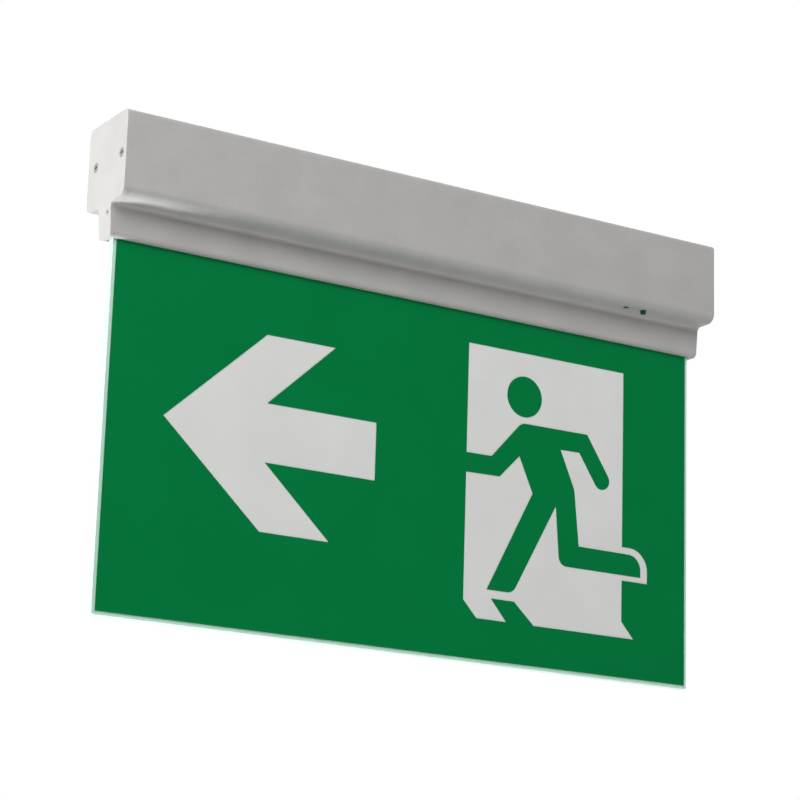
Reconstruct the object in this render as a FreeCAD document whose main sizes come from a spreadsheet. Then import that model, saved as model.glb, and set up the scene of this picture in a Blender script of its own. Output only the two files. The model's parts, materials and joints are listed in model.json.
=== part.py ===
# Emergency exit light for a ceiling: an aluminium T-section housing with a clear blade under it.
# Millimetres. X runs along the housing, -Y is the front, +Z is up and z = 0 is the ceiling.
import FreeCAD, Part
import math
import os
import Sketcher

doc = FreeCAD.newDocument("exit_light")
sheet = doc.addObject("Spreadsheet::Sheet", "Sizes")

# ---------------------------------------------------------------- driving sizes
SIZES = [
    # housing section and ends
    ("overall_length", 360.0), ("housing_depth", 42.0), ("box_height", 44.0), ("wall", 1.8),
    ("neck_depth", 13.0), ("neck_height", 17.0), ("neck_wall", 1.5), ("lip_height", 1.5),
    ("top_corner", 3.0), ("low_corner", 5.0), ("root_fillet", 2.5), ("neck_corner", 2.5),
    ("top_lip", 3.0), ("cap_thick", 3.5), ("neck_taper", 1.1),
    ("cap_tab", 3.2), ("cap_tab_thick", 1.4), ("cap_tab_height", 9.0),
    # clearances
    ("fit_gap", 0.2), ("loose_gap", 0.3), ("touch_gap", 0.05),
    # screw ports and screws
    ("port_radius", 2.6), ("port_bore", 1.25), ("port_web", 1.4), ("screw_level", 21.5),
    ("front_screw_inset", 5.2), ("back_screw_inset", 8.2), ("screw_length", 14.0),
    ("screw_radius", 1.2), ("screw_head", 2.5), ("head_depth", 1.3), ("slot_wide", 0.7),
    ("neck_port_radius", 1.6), ("neck_port_bore", 0.85), ("neck_screw_drop", 4.5),
    ("neck_screw_offset", 3.0), ("neck_screw_radius", 0.8), ("neck_screw_head", 1.6),
    # light strip in the top of the neck
    ("strip_inset", 12.0), ("strip_thick", 1.2), ("groove_rib", 1.3), ("groove_rib_thick", 0.8),
    ("lead_hole", 1.5), ("lead_hole_inset", 6.0),
    ("chip_long", 3.5), ("chip_wide", 2.8), ("chip_thick", 0.7), ("chip_count", 18),
    # blade, its pins and the legend on both faces
    ("plate_inset", 4.5), ("plate_thick", 5.0), ("plate_drop", 184.0), ("plate_head", 7.0),
    ("plate_corner", 1.0), ("key_tall", 2.5), ("key_wide", 8.0), ("key_spacing", 120.0),
    ("legend_inset", 1.7),
    ("legend_rise", 1.0), ("film_thick", 0.25), ("print_thick", 0.25), ("figure_scale", 1.0),
    # mounting plate and grommet
    ("sheet_thick", 1.2), ("plate_foot", 2.6), ("mount_pitch", 240.0), ("mount_hole", 2.25),
    ("clamp_gap", 10.0), ("cable_hole", 5.0), ("grommet_lip", 1.2), ("grommet_bore", 3.6),
    # gear tray and its rails
    ("tray_width", 22.0), ("tray_margin", 8.2), ("tray_thick", 1.0),
    ("rail_wall", 1.0), ("rail_hook", 1.2),
    # battery and clips
    ("cell_radius", 7.5), ("cell_length", 50.5), ("cell_count", 3),
    ("battery_inset", 8.5), ("battery_y", -1.0), ("clip_thick", 0.8), ("clip_wide", 9.0),
    ("clip_inset", 26.0), ("clip_lean", 1.2), ("clip_mouth", 2.0),
    # terminal block and cable clamp
    ("block_gap", 7.5), ("block_long", 26.0), ("block_wide", 18.0), ("block_tall", 15.0),
    ("pole_pitch", 8.0), ("wire_way", 3.4), ("well_side", 4.0), ("well_depth", 4.0),
    ("clamp_wide", 8.0), ("clamp_thick", 2.0), ("clamp_tall", 9.0), ("clamp_inside", 8.0),
    ("pan_head", 1.6), ("pan_tall", 1.2), ("pan_shank", 1.0), ("pan_slot", 0.5),
    # control board and what it carries
    ("board_gap", 15.0), ("board_inset", 18.5), ("board_margin", 1.8), ("board_back", 8.0),
    ("board_thick", 1.6), ("standoff_tall", 6.8), ("standoff_wide", 6.0), ("hook_thick", 1.2),
    ("standoff_inset", 9.0), ("hook_grip", 0.8), ("hook_rise", 1.6),
    ("coil_long", 17.0), ("coil_wide", 15.0), ("coil_tall", 14.0), ("coil_gap", 10.0),
    ("can_radius", 2.5), ("can_tall", 11.0), ("can_gap", 11.0), ("can_pitch", 9.0),
    # test button, its switch and the indicator
    ("button_inset", 22.0), ("button_edge", 6.3), ("button_radius", 1.5), ("button_proud", 2.0),
    ("button_travel", 1.0), ("flange_radius", 2.2), ("flange_thick", 1.0), ("stem_radius", 1.0),
    ("switch_side", 6.0), ("switch_offset", 0.5), ("switch_tall", 3.4),
    ("plunger_radius", 1.2), ("plunger_tall", 0.8),
    ("spring_radius", 1.8), ("strip_wide", 0.3), ("strip_tall", 0.5), ("spring_turns", 2.5),
    ("lens_gap", 11.5), ("lens_radius", 1.5), ("lens_proud", 0.5), ("lamp_tall", 1.0),
    ("lamp_side", 2.6),
]
for row, (alias, number) in enumerate(SIZES, start=1):
    sheet.set("A%d" % row, alias)
    sheet.set("B%d" % row, str(number))
    sheet.setAlias("B%d" % row, alias)
doc.recompute()


def size(alias):
    return float(sheet.get(alias))


# ---------------------------------------------------------------- places worked out from the sizes
HALF = "Sizes.overall_length/2"
BOX = "Sizes.box_height"
WALL = "Sizes.wall"
INNER = "(Sizes.housing_depth/2 - Sizes.wall)"
# The board, the tray and the button keep their places behind the housing's front face.
BOARD_FRONT = "(%s - Sizes.board_margin)" % INNER
GEAR_Y = "(Sizes.tray_margin + Sizes.tray_width/2 - %s)" % INNER
BUTTON_Y = "(Sizes.button_edge - Sizes.housing_depth/2)"
NECK_END = "(Sizes.box_height + Sizes.neck_height)"
NECK_INNER = "(Sizes.neck_depth/2 - Sizes.neck_wall)"
LEGEND_DEPTH = "(Sizes.plate_thick/2 + Sizes.film_thick + Sizes.print_thick)"
CAP_INNER = "(Sizes.overall_length/2 - Sizes.cap_thick)"
FLOOR = "(Sizes.wall - Sizes.box_height)"
TRAY_TOP = "(Sizes.wall - Sizes.box_height + Sizes.tray_thick)"
BOARD_LOW = "(Sizes.wall - Sizes.box_height + Sizes.tray_thick + Sizes.standoff_tall)"
BOARD_TOP = "(%s + Sizes.board_thick)" % BOARD_LOW
PLATE_HALF = "(Sizes.overall_length/2 - Sizes.plate_inset)"
STRIP_HALF = "(Sizes.overall_length/2 - Sizes.strip_inset)"
PLATE_TOP = "(-Sizes.box_height - Sizes.plate_head)"
PLATE_LOW = "(-Sizes.box_height - Sizes.neck_height - Sizes.plate_drop)"
FRONT_SCREW = "(Sizes.front_screw_inset - Sizes.housing_depth/2)"
BACK_SCREW = "(Sizes.housing_depth/2 - Sizes.back_screw_inset)"
NECK_SCREW = "(-Sizes.box_height - Sizes.neck_screw_drop)"
NECK_DROP = "(Sizes.neck_screw_drop*Sizes.neck_taper/Sizes.neck_height)"
LEAD_X = "(%s - Sizes.lead_hole_inset)" % CAP_INNER
BATTERY_X = "(Sizes.battery_inset - %s)" % CAP_INNER
BATTERY_END = "(%s + Sizes.cell_count*Sizes.cell_length)" % BATTERY_X
BLOCK_X = "(%s + Sizes.block_gap)" % BATTERY_END
CABLE_X = "(%s + Sizes.block_long + Sizes.clamp_gap)" % BLOCK_X
BOARD_X = "(%s + Sizes.board_gap)" % CABLE_X
BOARD_END = "(%s - Sizes.board_inset)" % CAP_INNER
BUTTON_X = "(%s - Sizes.button_inset)" % BOARD_END
LENS_X = "(%s - Sizes.lens_gap)" % BUTTON_X
KEY_LOW = "(-%s + Sizes.lip_height + Sizes.touch_gap)" % NECK_END
KEY_PLACES = ("-Sizes.key_spacing", "Sizes.key_spacing")


def worked_out(expression):
    """The number that an expression of sheet sizes gives now."""
    found = sheet.evalExpression(expression)
    return float(getattr(found, "Value", found))


# ---------------------------------------------------------------- drawing helpers
def new_body(name):
    body = doc.addObject("PartDesign::Body", name)
    body.Label = name
    body.AllowCompound = True
    return body


def new_sketch(body, plane_role, name):
    sketch = body.newObject("Sketcher::SketchObject", name)
    plane = next(item for item in body.Origin.OriginFeatures if item.Role == plane_role)
    sketch.AttachmentSupport = (plane, "")
    sketch.MapMode = "FlatFace"
    return sketch


def place_point(sketch, shape_index, point_index, across, up):
    """Tie one point of a sketch to two expressions, or to an axis where one is nought."""
    for kind, text, axis in (("DistanceX", across, -2), ("DistanceY", up, -1)):
        number = worked_out(text)
        if abs(number) < 1e-9:
            sketch.addConstraint(Sketcher.Constraint("PointOnObject", shape_index, point_index, axis))
            continue
        rule = Sketcher.Constraint(kind, -1, 1, shape_index, point_index, number)
        index = sketch.addConstraint(rule)
        sketch.setExpression("Constraints[%d]" % index, text)


def outline(sketch, corners):
    """Draw a closed outline through corners, each a pair of expressions (across, up)."""
    first = sketch.GeometryCount
    spots = [FreeCAD.Vector(worked_out(across), worked_out(up), 0) for across, up in corners]
    for index, spot in enumerate(spots):
        sketch.addGeometry(Part.LineSegment(spot, spots[(index + 1) % len(spots)]), False)
    for index in range(len(spots)):
        after = first + (index + 1) % len(spots)
        sketch.addConstraint(Sketcher.Constraint("Coincident", first + index, 2, after, 1))
    for index, (across, up) in enumerate(corners):
        place_point(sketch, first + index, 1, across, up)


def box_outline(sketch, left, low, right, high):
    outline(sketch, [(left, low), (right, low), (right, high), (left, high)])


def disc(sketch, across, up, radius):
    centre = FreeCAD.Vector(worked_out(across), worked_out(up), 0)
    circle = Part.Circle(centre, FreeCAD.Vector(0, 0, 1), worked_out(radius))
    index = sketch.addGeometry(circle, False)
    place_point(sketch, index, 3, across, up)
    rule = sketch.addConstraint(Sketcher.Constraint("Radius", index, worked_out(radius)))
    sketch.setExpression("Constraints[%d]" % rule, radius)


def pad(sketch, length, centred=False, backwards=False):
    body = sketch.getParentGeoFeatureGroup()
    feature = body.newObject("PartDesign::Pad", sketch.Name + "_pad")
    feature.Profile = sketch
    feature.setExpression("Length", length)
    feature.SideType = "Symmetric" if centred else "One side"
    feature.Reversed = backwards
    doc.recompute()
    return feature


def pocket(sketch, length, centred=False, backwards=False):
    """Cut a sketch out of its body, and make sure that it cuts something."""
    body = sketch.getParentGeoFeatureGroup()
    before = body.Tip.Shape.Volume
    feature = body.newObject("PartDesign::Pocket", sketch.Name + "_cut")
    feature.Profile = sketch
    feature.setExpression("Length", length)
    feature.SideType = "Symmetric" if centred else "One side"
    feature.Reversed = backwards
    doc.recompute()
    if not feature.Shape.Volume < before:
        raise ValueError("%s cuts nothing" % feature.Name)
    return feature


def turned(sketch, axis):
    """Revolve a half section about its sketch's axis, such as V_Axis."""
    body = sketch.getParentGeoFeatureGroup()
    feature = body.newObject("PartDesign::Revolution", sketch.Name + "_turn")
    feature.Profile = sketch
    feature.ReferenceAxis = (sketch, [axis])
    feature.Angle = 360.0
    doc.recompute()
    return feature


def edge_names(shape, chosen):
    return ["Edge%d" % (number + 1) for number, edge in enumerate(shape.Edges) if chosen(edge)]


def along(axis):
    """A test for straight edges that run along one axis."""
    def test(edge):
        if len(edge.Vertexes) != 2:
            return False
        step = edge.Vertexes[1].Point - edge.Vertexes[0].Point
        return step.Length > 1e-6 and abs(step.normalize().dot(axis)) > 0.9999
    return test


def round_edges(feature, chosen, radius):
    body = feature.getParentGeoFeatureGroup()
    names = edge_names(feature.Shape, chosen)
    if not names:
        raise ValueError("no edge to round on %s" % feature.Name)
    dressed = body.newObject("PartDesign::Fillet", feature.Name + "_round")
    dressed.Base = (feature, names)
    dressed.setExpression("Radius", radius)
    doc.recompute()
    return dressed


def round_corners(feature, axis, corners, radius):
    """Round the edges along an axis that pass through corners, given across and up."""
    straight = along(axis)
    rest = [n for n in range(3) if abs(axis[n]) < 0.5]
    spots = [(worked_out(across), worked_out(up)) for across, up in corners]

    def chosen(edge):
        if not straight(edge):
            return False
        middle = edge.CenterOfMass
        return any(math.hypot(middle[rest[0]] - a, middle[rest[1]] - b) < 0.01 for a, b in spots)

    return round_edges(feature, chosen, radius)


def put(thing, across="0", deep="0", up="0"):
    for axis, text in (("x", across), ("y", deep), ("z", up)):
        if text != "0":
            thing.setExpression("Placement.Base." + axis, text)
    return thing


def block(name, long, wide, tall, across, deep, up):
    """A box from its sizes and its lowest corner."""
    thing = doc.addObject("Part::Box", name)
    for field, text in (("Length", long), ("Width", wide), ("Height", tall)):
        thing.setExpression(field, text)
    return put(thing, across, deep, up)


def rod(name, radius, length, across, deep, up, axis=(0, 0, 1)):
    """A cylinder that starts at a point and runs along an axis."""
    thing = doc.addObject("Part::Cylinder", name)
    thing.setExpression("Radius", radius)
    thing.setExpression("Height", length)
    turn = FreeCAD.Rotation(FreeCAD.Vector(0, 0, 1), FreeCAD.Vector(*axis))
    thing.Placement = FreeCAD.Placement(FreeCAD.Vector(0, 0, 0), turn)
    return put(thing, across, deep, up)


def joined(name, things):
    whole = doc.addObject("Part::MultiFuse", name)
    whole.Shapes = things
    whole.Refine = True
    return whole


def cut(name, base, tools):
    tool = tools[0] if len(tools) == 1 else joined(name + "_tools", tools)
    less = doc.addObject("Part::Cut", name)
    less.Base = base
    less.Tool = tool
    return less


def group(name, things):
    """Identical pieces that share one node, each still a solid of its own."""
    whole = doc.addObject("Part::Compound", name)
    whole.Links = things
    whole.Label = name
    return whole


X_AXIS = FreeCAD.Vector(1, 0, 0)
Y_AXIS = FreeCAD.Vector(0, 1, 0)
Z_AXIS = FreeCAD.Vector(0, 0, 1)
pieces = []


def keep(thing, label):
    thing.Label = label
    pieces.append(thing)
    return thing


def mirrored(half):
    """A whole outline from its +Y half, which starts and ends on the mid plane or across a gap."""
    other = [("-(%s)" % across, up) for across, up in reversed(half)]
    return half + other


# ---------------------------------------------------------------- housing
def tee_half():
    """The outer T, back half, from the neck's lower face up to the ceiling."""
    return [
        ("Sizes.neck_depth/2", "-%s" % NECK_END), ("Sizes.neck_depth/2", "-" + BOX),
        ("Sizes.housing_depth/2", "-" + BOX), ("Sizes.housing_depth/2", "0"),
    ]


def round_tee(feature):
    """Round the T's long corners: ceiling edges, lower edges, roots and neck edges."""
    for across, up, radius in (
        ("Sizes.housing_depth/2", "0", "Sizes.top_corner"),
        ("Sizes.housing_depth/2", "-" + BOX, "Sizes.low_corner"),
        ("Sizes.neck_depth/2", "-" + BOX, "Sizes.root_fillet"),
        ("Sizes.neck_depth/2", "-" + NECK_END, "Sizes.neck_corner"),
    ):
        feature = round_corners(feature, X_AXIS, [(across, up), ("-" + across, up)], radius)
    return feature


def make_housing_profile():
    """The extrusion: T walls, snap lips on top, tray rails, screw ports and the neck's channel."""
    body = new_body("housing_profile")
    length = "(Sizes.overall_length - 2*Sizes.cap_thick)"
    tee = new_sketch(body, "YZ_Plane", "tee")
    outline(tee, mirrored(tee_half()))
    round_tee(pad(tee, length, centred=True))

    lip = "(%s - Sizes.top_lip)" % INNER
    hollow = new_sketch(body, "YZ_Plane", "box_hollow")
    outline(hollow, mirrored([(INNER, FLOOR), (INNER, "-" + WALL), (lip, "-" + WALL), (lip, "1")]))
    hole = pocket(hollow, length, centred=True)
    inside_corner = "Sizes.low_corner - Sizes.wall"
    round_corners(hole, X_AXIS, [(INNER, FLOOR), ("-" + INNER, FLOOR)], inside_corner)

    slot = "(%s + Sizes.loose_gap)" % LEGEND_DEPTH
    rib = "(%s - Sizes.groove_rib)" % NECK_INNER
    groove_low = "(-Sizes.box_height - Sizes.strip_thick - Sizes.fit_gap)"
    rib_low = "(%s - Sizes.groove_rib_thick)" % groove_low
    lip_top = "(-%s + Sizes.lip_height)" % NECK_END
    channel = new_sketch(body, "YZ_Plane", "neck_channel")
    outline(channel, mirrored([
        (slot, "-%s - 1" % NECK_END), (slot, lip_top), (NECK_INNER, lip_top), (NECK_INNER, rib_low),
        (rib, rib_low), (rib, groove_low), (NECK_INNER, groove_low), (NECK_INNER, "-" + BOX),
    ]))
    pocket(channel, length, centred=True)

    rails = new_sketch(body, "YZ_Plane", "tray_rails")
    leg_in = "(Sizes.tray_width/2 + Sizes.fit_gap)"
    leg_out = "(%s + Sizes.rail_wall)" % leg_in
    hook_in = "(Sizes.tray_width/2 - Sizes.rail_hook)"
    hook_low = "(%s + Sizes.fit_gap)" % TRAY_TOP
    hook_top = "(%s + Sizes.rail_wall)" % hook_low
    rail = [(leg_in, FLOOR + " - 0.5"), (leg_out, FLOOR + " - 0.5"), (leg_out, hook_top),
            (hook_in, hook_top), (hook_in, hook_low), (leg_in, hook_low)]
    for side in (" + ", " - "):
        outline(rails, [(GEAR_Y + side + across, up) for across, up in rail])
    pad(rails, length, centred=True)

    ports = new_sketch(body, "YZ_Plane", "screw_ports")
    disc(ports, FRONT_SCREW, "-Sizes.screw_level", "Sizes.port_radius")
    disc(ports, BACK_SCREW, "-Sizes.screw_level", "Sizes.port_radius")
    disc(ports, "-Sizes.neck_screw_offset", NECK_SCREW, "Sizes.neck_port_radius")
    pad(ports, length, centred=True)
    webs = new_sketch(body, "YZ_Plane", "port_webs")
    low = "-Sizes.screw_level - Sizes.port_web/2"
    high = "-Sizes.screw_level + Sizes.port_web/2"
    box_outline(webs, "-%s - 0.5" % INNER, low, FRONT_SCREW, high)
    box_outline(webs, BACK_SCREW, low, "%s + 0.5" % INNER, high)
    low = NECK_SCREW + " - Sizes.port_web/2"
    high = NECK_SCREW + " + Sizes.port_web/2"
    box_outline(webs, "-%s - 0.5" % NECK_INNER, low, "-Sizes.neck_screw_offset", high)
    pad(webs, length, centred=True)
    bores = new_sketch(body, "YZ_Plane", "port_bores")
    disc(bores, FRONT_SCREW, "-Sizes.screw_level", "Sizes.port_bore")
    disc(bores, BACK_SCREW, "-Sizes.screw_level", "Sizes.port_bore")
    disc(bores, "-Sizes.neck_screw_offset", NECK_SCREW, "Sizes.neck_port_bore")
    pocket(bores, length, centred=True)

    holes = new_sketch(body, "XY_Plane", "underside_holes")
    holes.setExpression("AttachmentOffset.Base.z", "1 - Sizes.box_height + Sizes.wall")
    disc(holes, BUTTON_X, BUTTON_Y, "Sizes.button_radius + Sizes.loose_gap")
    disc(holes, LENS_X, BUTTON_Y, "Sizes.lens_radius + Sizes.touch_gap")
    disc(holes, LEAD_X, "0", "Sizes.lead_hole")
    pocket(holes, "Sizes.wall + 2")
    return keep(body, "housing_profile")


def make_end_cap(label, side):
    """A cast plate of the T's outline with countersunk holes and locating tabs; side is 1 or -1."""
    body = new_body(label)
    tee = new_sketch(body, "YZ_Plane", label + "_tee")
    outline(tee, mirrored(tee_half()))
    # the body stands with its inner face on its own origin plane
    round_tee(pad(tee, "Sizes.cap_thick", backwards=side < 0))
    taper = new_sketch(body, "XZ_Plane", label + "_taper")
    outer = "%d*Sizes.cap_thick" % side
    draft = "%d*(Sizes.cap_thick - Sizes.neck_taper)" % side
    outline(taper, [(outer, "-" + BOX), (draft, "-" + NECK_END), (draft, "-%s - 1" % NECK_END),
                    ("%d*(Sizes.cap_thick + 1)" % side, "-%s - 1" % NECK_END),
                    ("%d*(Sizes.cap_thick + 1)" % side, "-" + BOX)])
    pocket(taper, "Sizes.housing_depth", centred=True)
    for name, spots, bore, head, drop in (
        ("box_screws", [(FRONT_SCREW, "-Sizes.screw_level"), (BACK_SCREW, "-Sizes.screw_level")],
         "Sizes.screw_radius + Sizes.fit_gap", "Sizes.screw_head + Sizes.touch_gap", "0"),
        ("neck_screws", [("-Sizes.neck_screw_offset", NECK_SCREW)],
         "Sizes.neck_screw_radius + Sizes.fit_gap", "Sizes.neck_screw_head + Sizes.touch_gap",
         NECK_DROP),
    ):
        bores = new_sketch(body, "YZ_Plane", "%s_%s" % (label, name))
        for across, up in spots:
            disc(bores, across, up, bore)
        pocket(bores, "2*Sizes.cap_thick", centred=True)
        sinks = new_sketch(body, "YZ_Plane", "%s_%s_sinks" % (label, name))
        seat = "%d*(Sizes.cap_thick - Sizes.head_depth - %s)" % (side, drop)
        sinks.setExpression("AttachmentOffset.Base.z", seat)
        for across, up in spots:
            disc(sinks, across, up, head)
        pocket(sinks, "Sizes.head_depth + Sizes.neck_taper", backwards=side > 0)

    tabs = new_sketch(body, "YZ_Plane", label + "_tabs")
    tab_out = "(%s - Sizes.fit_gap)" % INNER
    tab_in = "(%s - Sizes.cap_tab_thick)" % tab_out
    tab_top = "(-Sizes.screw_level + Sizes.port_radius + Sizes.loose_gap + Sizes.cap_tab_height)"
    tab_low = "(-Sizes.screw_level + Sizes.port_radius + Sizes.loose_gap)"
    box_outline(tabs, tab_in, tab_low, tab_out, tab_top)
    box_outline(tabs, "-" + tab_out, tab_low, "-" + tab_in, tab_top)
    stop_half = "Sizes.tray_width/4"
    box_outline(tabs, "%s - %s" % (GEAR_Y, stop_half), FLOOR + " + Sizes.fit_gap",
                "%s + %s" % (GEAR_Y, stop_half), TRAY_TOP + " + 3")
    pad(tabs, "Sizes.cap_tab", backwards=side > 0)
    put(body, "%d*%s" % (side, CAP_INNER))
    return keep(body, label)


def screw(name, radius, head, length, depth, across, deep, up, axis):
    """A cheese-head screw along X with a cross recess; the axis points into the work."""
    top = rod(name + "_top", head, depth, across, deep, up, axis)
    shank = rod(name + "_shank", radius, length, across, deep, up, axis)
    whole = joined(name + "_blank", [top, shank])
    recess = []
    deepest = "%s*0.7" % depth
    start = "(%s) - %s" % (across, deepest) if axis[0] < 0 else "(%s)" % across
    for number, (wide, tall) in enumerate((("Sizes.slot_wide", head), (head, "Sizes.slot_wide"))):
        recess.append(block("%s_slot%d" % (name, number), deepest, wide, tall, start,
                            "(%s) - %s/2" % (deep, wide), "(%s) - %s/2" % (up, tall)))
    return cut(name, whole, recess)


def pan_screw(name, length, across, deep, up):
    """A slotted pan-head screw whose head sits at up, with its shank below."""
    head = rod(name + "_head", "Sizes.pan_head", "Sizes.pan_tall", across, deep, up)
    shank = rod(name + "_shank", "Sizes.pan_shank", length, across, deep, "%s - %s" % (up, length))
    slot = block(name + "_slot", "2*Sizes.pan_head", "Sizes.pan_slot", "Sizes.pan_tall",
                 "%s - Sizes.pan_head" % across, "%s - Sizes.pan_slot/2" % deep,
                 "%s + Sizes.pan_tall/2" % up)
    return cut(name, joined(name + "_blank", [head, shank]), [slot])


def make_end_screws():
    box_screws = []
    neck_screws = []
    for side in (-1, 1):
        face = "%d*%s" % (side, HALF)
        end = "left" if side < 0 else "right"
        for place, deep in (("front", FRONT_SCREW), ("back", BACK_SCREW)):
            box_screws.append(screw(
                "screw_%s_%s" % (end, place), "Sizes.screw_radius", "Sizes.screw_head",
                "Sizes.screw_length", "Sizes.head_depth", face, deep, "-Sizes.screw_level",
                (-side, 0, 0)))
        neck_screws.append(screw(
            "screw_%s_neck" % end, "Sizes.neck_screw_radius", "Sizes.neck_screw_head",
            "Sizes.screw_length", "Sizes.head_depth", "%d*(%s - %s)" % (side, HALF, NECK_DROP),
            "-Sizes.neck_screw_offset", NECK_SCREW, (-side, 0, 0)))
    keep(group("end_cap_screws", box_screws), "end_cap_screws")
    keep(group("neck_screws", neck_screws), "neck_screws")


# ---------------------------------------------------------------- ceiling plate
def make_mounting_plate():
    """A folded steel hat rail that the housing's top lips hook on, with fixing and cable holes."""
    body = new_body("mounting_plate")
    section = new_sketch(body, "YZ_Plane", "hat")
    web = "(%s - Sizes.top_lip - Sizes.fit_gap)" % INNER
    foot = "(%s + Sizes.plate_foot)" % web
    drop = "(-Sizes.wall - Sizes.loose_gap)"
    outline(section, mirrored([
        (web + " - Sizes.sheet_thick", "-Sizes.sheet_thick"),
        (web + " - Sizes.sheet_thick", drop + " - Sizes.sheet_thick"),
        (foot, drop + " - Sizes.sheet_thick"), (foot, drop), (web, drop), (web, "0"),
    ]))
    length = "2*(%s - Sizes.loose_gap)" % CAP_INNER
    folded = pad(section, length, centred=True)
    round_corners(folded, X_AXIS, [(web, "0"), ("-" + web, "0")], "Sizes.sheet_thick")
    holes = new_sketch(body, "XY_Plane", "plate_holes")
    disc(holes, "Sizes.mount_pitch/2", "0", "Sizes.mount_hole")
    disc(holes, "-Sizes.mount_pitch/2", "0", "Sizes.mount_hole")
    disc(holes, CABLE_X, "0", "Sizes.cable_hole")
    pocket(holes, "2*Sizes.sheet_thick", centred=True)
    return keep(body, "mounting_plate")


def make_cable_grommet():
    """A rubber ring in the plate's cable hole, flush with the ceiling side."""
    body = new_body("cable_grommet")
    section = new_sketch(body, "XZ_Plane", "ring")
    bore = "Sizes.grommet_bore"
    wall_out = "(Sizes.cable_hole - Sizes.touch_gap)"
    rim = "(Sizes.cable_hole + Sizes.grommet_lip)"
    low = "(-Sizes.sheet_thick - Sizes.touch_gap)"
    outline(section, [
        (bore, "-0.2"), (wall_out, "-0.2"), (wall_out, low), (rim, low),
        (rim, low + " - Sizes.grommet_lip"), (bore, low + " - Sizes.grommet_lip"),
    ])
    turned(section, "V_Axis")
    put(body, CABLE_X)
    return keep(body, "cable_grommet")


# ---------------------------------------------------------------- blade and legend
def make_blade():
    body = new_body("light_guide_plate")
    sheet_outline = new_sketch(body, "XZ_Plane", "blade")
    box_outline(sheet_outline, "-" + PLATE_HALF, PLATE_LOW, PLATE_HALF, PLATE_TOP)
    solid = pad(sheet_outline, "Sizes.plate_thick", centred=True)
    corners = [(PLATE_HALF, PLATE_LOW), ("-" + PLATE_HALF, PLATE_LOW)]
    round_corners(solid, Y_AXIS, corners, "Sizes.plate_corner")
    slots = new_sketch(body, "XZ_Plane", "key_slots")
    spare = "Sizes.touch_gap"
    half_slot = "(Sizes.key_wide/2 + %s)" % spare
    for place in KEY_PLACES:
        box_outline(slots, "%s - %s" % (place, half_slot), "%s - %s" % (KEY_LOW, spare),
                    "%s + %s" % (place, half_slot), "%s + Sizes.key_tall + %s" % (KEY_LOW, spare))
    pocket(slots, "2*Sizes.plate_thick", centred=True)
    return keep(body, "light_guide_plate")


def make_plate_keys():
    """Flat keys through the blade's slots that ride on the neck's lips and carry its weight."""
    start = "(Sizes.fit_gap - %s)" % NECK_INNER
    keys = [block("key%d" % number, "Sizes.key_wide", "2*(%s - Sizes.fit_gap)" % NECK_INNER,
                  "Sizes.key_tall", "%s - Sizes.key_wide/2" % place, start, KEY_LOW)
            for number, place in enumerate(KEY_PLACES)]
    return keep(group("plate_keys", keys), "plate_keys")


def figure_points(points):
    """Turn a drawing's (across, down) points, measured from the neck's lower face, into places."""
    return [("%s*Sizes.figure_scale" % across, "-%s + %s*Sizes.figure_scale" % (NECK_END, up))
            for across, up in points]


ARROW_LINE = -83.3
ARROW = [(-143.7, 0), (-88.4, 50.1), (-48.8, 50.1), (-86.8, 15.1), (-23.4, 15.1)]
DOOR = [
    (31.5, -16.2), (132.0, -16.2), (132.0, -112.1), (148.8, -112.1), (148.8, -130.4),
    (132.0, -130.4), (132.0, -152.4), (139.9, -161.2), (75.4, -161.2), (62.9, -150.0),
    (48.6, -150.0), (58.4, -161.2), (39.8, -161.2), (31.5, -152.4),
]
DOOR_ROUNDS = [((148.8, -112.1), 12.0)]
RUNNER = [
    (30.5, -75.2), (47.2, -75.0), (65.7, -54.5), (108.2, -54.3), (124.9, -79.3), (116.6, -84.8),
    (103.2, -64.8), (90.9, -65.0), (100.2, -85.5), (103.5, -115.7), (144.2, -115.9),
    (144.2, -127.4), (91.2, -127.4), (88.5, -95.9), (62.1, -145.5), (45.9, -145.5),
    (73.5, -91.4), (64.7, -72.4), (52.4, -85.1), (30.5, -85.5),
]
RUNNER_ROUNDS = [
    ((65.7, -54.5), 6.0), ((124.9, -79.3), 4.8), ((116.6, -84.8), 4.8),
    ((144.2, -115.9), 8.0), ((91.2, -127.4), 5.0), ((62.1, -145.5), 6.0), ((100.2, -85.5), 12.0),
]
HEAD = ((67.3, -40.0), 11.0)


def round_figure(feature, rounds):
    for spot, radius in rounds:
        feature = round_corners(feature, Y_AXIS, figure_points([spot]),
                                "%s*Sizes.figure_scale" % radius)
    return feature


def legend_box(sketch):
    half = "(%s - Sizes.legend_inset)" % PLATE_HALF
    low = "(%s + Sizes.legend_inset)" % PLATE_LOW
    box_outline(sketch, "-" + half, low, half, "Sizes.legend_rise - %s" % NECK_END)


def figure_body(name, points, rounds, thick):
    body = new_body(name)
    drawing = new_sketch(body, "XZ_Plane", name + "_outline")
    outline(drawing, figure_points(points))
    round_figure(pad(drawing, thick), rounds)
    return body


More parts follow.
